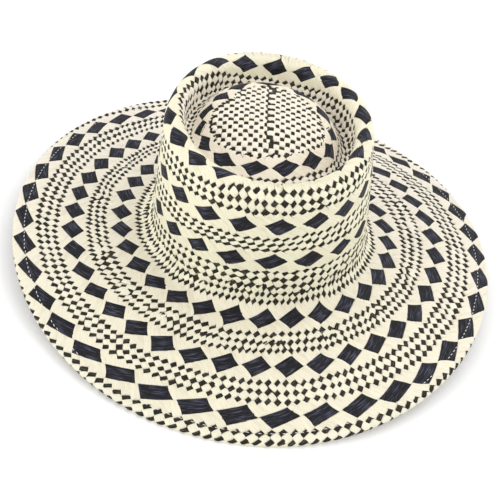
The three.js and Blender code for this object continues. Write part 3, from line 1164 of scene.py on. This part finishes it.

# %% [markdown]
# Dyed straw is nearly black, bluer in the long floats and browner in the checks. Its fibres are
# painted with pale highlight lines, so its ramp of fibres rises far above one. The core is dark and
# blotchy, as shaded straw is, and the thread is white and a little twisted.

# %% Black straw, shaded core and thread
BLACK_TONES = four_tones(
    (0.010, 0.009, 0.006), (0.020, 0.017, 0.011), (0.007, 0.007, 0.009), (0.014, 0.014, 0.018)
)
# Fibre grain, whose upper stops far above one are painted highlights on the black straw
BLACK_FIBRES_AND_HIGHLIGHTS = [(0.42, (0.8, 0.8, 0.8)), (0.54, (1.6, 1.6, 1.7)), (0.66, (7.0, 7.0, 8.6))]
# Painted shade for the black floats: darker where they dip
BLACK_DIP_SHADE = [(0.0, (0.6, 0.6, 0.6)), (0.6, UNCHANGED)]
black_finish = straw_finish(
    "black_straw", BLACK_TONES, BLACK_FIBRES_AND_HIGHLIGHTS, BLACK_DIP_SHADE,
    roughness=0.6, bump=0.45, at_back=UNCHANGED,
)

CORE_SHADES = [(0.3, (0.04, 0.034, 0.024)), (0.7, (0.09, 0.076, 0.052))]
BLOTCHES = 900
core_finish, nodes, links, shader = finish("shaded_straw", 0.85)
core_noise = nodes.new("ShaderNodeTexNoise")
core_noise.inputs["Scale"].default_value = BLOTCHES
core_colour = ramp(nodes, links, core_noise.outputs["Fac"], CORE_SHADES)
links.new(core_colour, shader.inputs["Base Color"])

THREAD_SHADES = [(0.3, (0.78, 0.78, 0.76)), (0.7, (0.95, 0.95, 0.94))]
THREAD_TWIST = 5.0
thread_finish, nodes, links, shader = finish("white_thread", 0.5)
twist = fibre_noise(nodes, links, THREAD_TWIST, THREAD_TWIST)
links.new(ramp(nodes, links, twist, THREAD_SHADES), shader.inputs["Base Color"])

# %% The finishes go on
for name, piece in pieces.items():
    piece.data.materials.clear()
    part = name.split("_")[0]
    piece.data.materials.append(black_finish if "black" in name else cream_finishes[part])
for core in cores.values():
    core.data.materials.append(core_finish)
for item in stitches.values():
    item.data.materials.clear()
    item.data.materials.append(thread_finish)
print("Pieces with a finish:", len(pieces) + len(cores) + len(stitches))

# %% [markdown]
# ## Riding on the frame
# The hat has no moving parts, so every piece rides on the one body. Each CAD node is a smooth
# wall, and the straw that stands for it hides it. The crown's straws reach a little over the
# borders of its side, because they are divided by the weave, so they stand for its neighbours too.

# %% Rides and nodes
NODES_OF = {"tip": ["crown_tip"], "crown": ["crown_tip", "crown_side", "brim"], "brim": ["brim", "edge_hem"]}
for name, piece in pieces.items():
    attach(piece, "root")
    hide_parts(*NODES_OF[name.split("_")[0]])
for core in cores.values():
    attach(core, "root")
for item in stitches.values():
    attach(item, "root")
print("Pieces that hide CAD nodes:", len(pieces))

# %% [markdown]
# ## Floor, light and camera
# The hat lies on a plain white floor in soft studio light. The camera looks down at it from in
# front, rolled a little. Its angles, distance and lens are those that lay the hat's ovals over
# the photograph, so that render and photograph can be set side by side.

# %% Floor
FLOOR_REACH = 6.0
floor_corners = [(x * FLOOR_REACH, y * FLOOR_REACH, 0) for x, y in ((-1, -1), (1, -1), (1, 1), (-1, 1))]
floor_mesh = bpy.data.meshes.new("floor")
floor_mesh.from_pydata(floor_corners, [], [(0, 1, 2, 3)])
floor = bpy.data.objects.new("floor", floor_mesh)
bpy.context.scene.collection.objects.link(floor)
floor_finish, _, _, shader = finish("pale_floor", 0.9)
shader.inputs["Base Color"].default_value = (0.98, 0.98, 0.98, 1)
shader.inputs["Specular IOR Level"].default_value = 0.0
floor_mesh.materials.append(floor_finish)
floor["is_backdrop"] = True

# %% Light
SKY_STRENGTH = 0.77
world = bpy.data.worlds.new("studio")
bpy.context.scene.world = world
world.use_nodes = True
sky = world.node_tree.nodes["Background"]
sky.inputs["Color"].default_value = (1, 1, 1, 1)
sky.inputs["Strength"].default_value = SKY_STRENGTH


def soft_light(name, place, size, power):
    """A square lamp of a size in metres and a power in watts, aimed at the hat."""
    light = bpy.data.lights.new(name, "AREA")
    light.size = size
    light.energy = power
    item = bpy.data.objects.new(name, light)
    item.location = place
    item.rotation_euler = (-Vector(place)).to_track_quat("-Z", "Y").to_euler()
    bpy.context.scene.collection.objects.link(item)


soft_light("front_light", (-1.2, -0.75, 0.7), 1.4, 9.8)
soft_light("side_light", (1.2, -0.3, 0.9), 1.2, 6)
soft_light("back_light", (0.3, 0.9, 1.1), 1.4, 6)
bpy.context.scene.view_settings.view_transform = "Standard"

# %% Camera
PITCH, YAW, ROLL = math.radians(38.96), math.radians(0.06), math.radians(11.87)
DISTANCE = 0.6709
FRAME_PIXELS, FOCAL_PIXELS = 500, 824.88
CENTRE_PIXEL = (258.37, 220.24)
SENSOR = 36.0

back = Vector((math.sin(YAW) * math.cos(PITCH), -math.cos(YAW) * math.cos(PITCH), math.sin(PITCH)))
level_right = Vector((math.cos(YAW), math.sin(YAW), 0))
level_up = back.cross(level_right)
right = level_right * math.cos(ROLL) + level_up * math.sin(ROLL)
up = -level_right * math.sin(ROLL) + level_up * math.cos(ROLL)
camera_data = bpy.data.cameras.new("camera")
camera_data.sensor_width = SENSOR
camera_data.lens = FOCAL_PIXELS * SENSOR / FRAME_PIXELS
camera_data.shift_x = (FRAME_PIXELS / 2 - CENTRE_PIXEL[0]) / FRAME_PIXELS
camera_data.shift_y = (CENTRE_PIXEL[1] - FRAME_PIXELS / 2) / FRAME_PIXELS
camera_data.clip_start = 0.05
camera = bpy.data.objects.new("camera", camera_data)
aim = Matrix((right, up, back)).transposed().to_4x4()
aim.translation = back * DISTANCE + Vector((0, 0, FOOT_HEIGHT * MM))
camera.matrix_world = aim
bpy.context.scene.collection.objects.link(camera)
bpy.context.scene.camera = camera
print("Camera at", [round(x, 4) for x in camera.location])

# %% The visual box, and the end
low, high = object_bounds()
print("Visual box, metres:", [round(x, 4) for x in (*low, *high)])
